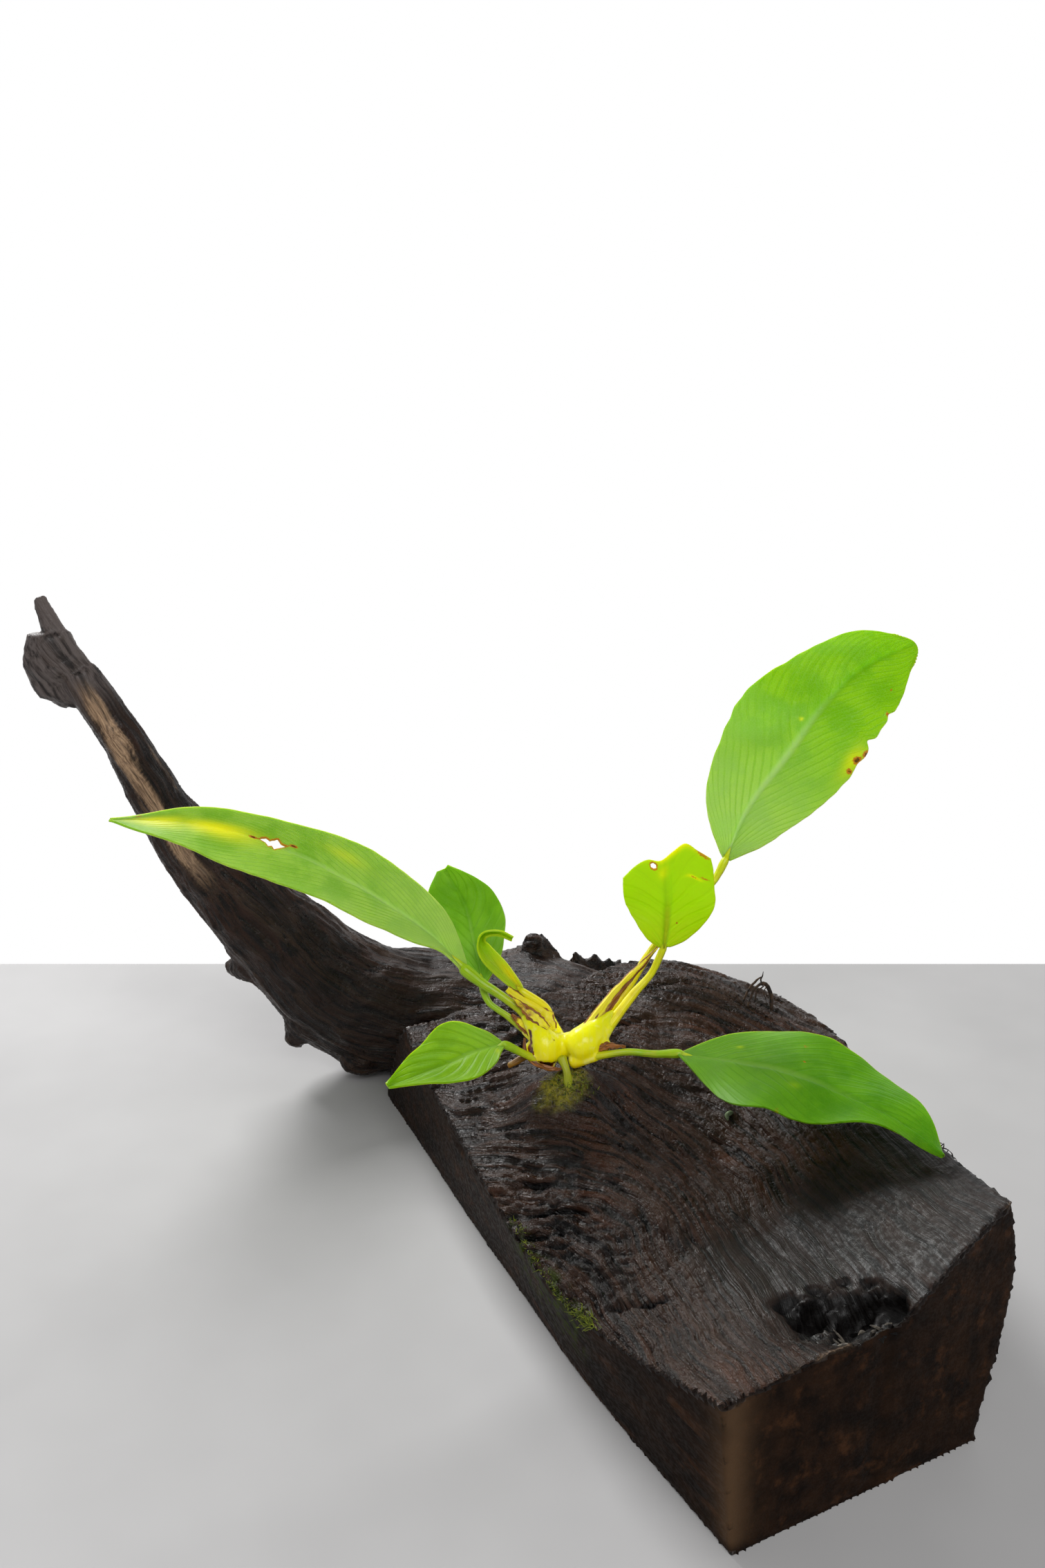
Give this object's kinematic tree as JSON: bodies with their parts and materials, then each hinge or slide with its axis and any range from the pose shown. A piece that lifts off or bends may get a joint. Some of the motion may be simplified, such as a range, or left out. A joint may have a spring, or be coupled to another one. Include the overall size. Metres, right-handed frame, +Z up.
{
  "type": "anubias on driftwood",
  "caption": "A small broad-leaved aquatic plant growing from a creeping rhizome on a sawn chunk of dark driftwood, whose long branch rises to a broken fork at one side.",
  "frame": {"origin": "Centre of the bounding box in plan, at the level of the flat sawn underside that the wood stands on.", "axes": "+Z up. The object's longest extent runs along X, with the branch's fork at -X. The viewer of the picture stands at -Y, and +Y points away from them."},
  "size_m": [0.2769, 0.2193, 0.1682],
  "materials": {
    "sawn_driftwood": "dark waterlogged wood, damp and slightly glossy",
    "weathered_driftwood": "dark grey-brown weathered wood",
    "moss": "matte yellow-green moss",
    "dry_root": "dry matte brown",
    "rhizome": "smooth satin yellow",
    "live_root": "satin olive",
    "stalk": "smooth satin green",
    "blade": "glossy waxy green",
    "pale_blade": "satin yellow-green underside"
  },
  "bodies": {
    "root": {"driftwood_block": "sawn_driftwood", "driftwood_branch": "weathered_driftwood", "driftwood_spike": "weathered_driftwood", "driftwood_stub": "weathered_driftwood", "moss_tuft": "moss", "dry_rootlet": "dry_root", "rhizome": "rhizome", "root_stub": "live_root", "root_nub": "live_root", "stalk_long": "stalk", "stalk_back": "stalk", "stalk_young": "stalk", "stalk_side": "stalk", "stalk_right": "stalk", "stalk_chewed": "stalk", "stalk_tall": "stalk", "blade_long": "blade", "blade_back": "blade", "blade_young": "blade", "blade_side": "blade", "blade_right": "blade", "blade_chewed": "pale_blade", "blade_tall": "blade"}
  },
  "joints": []
}
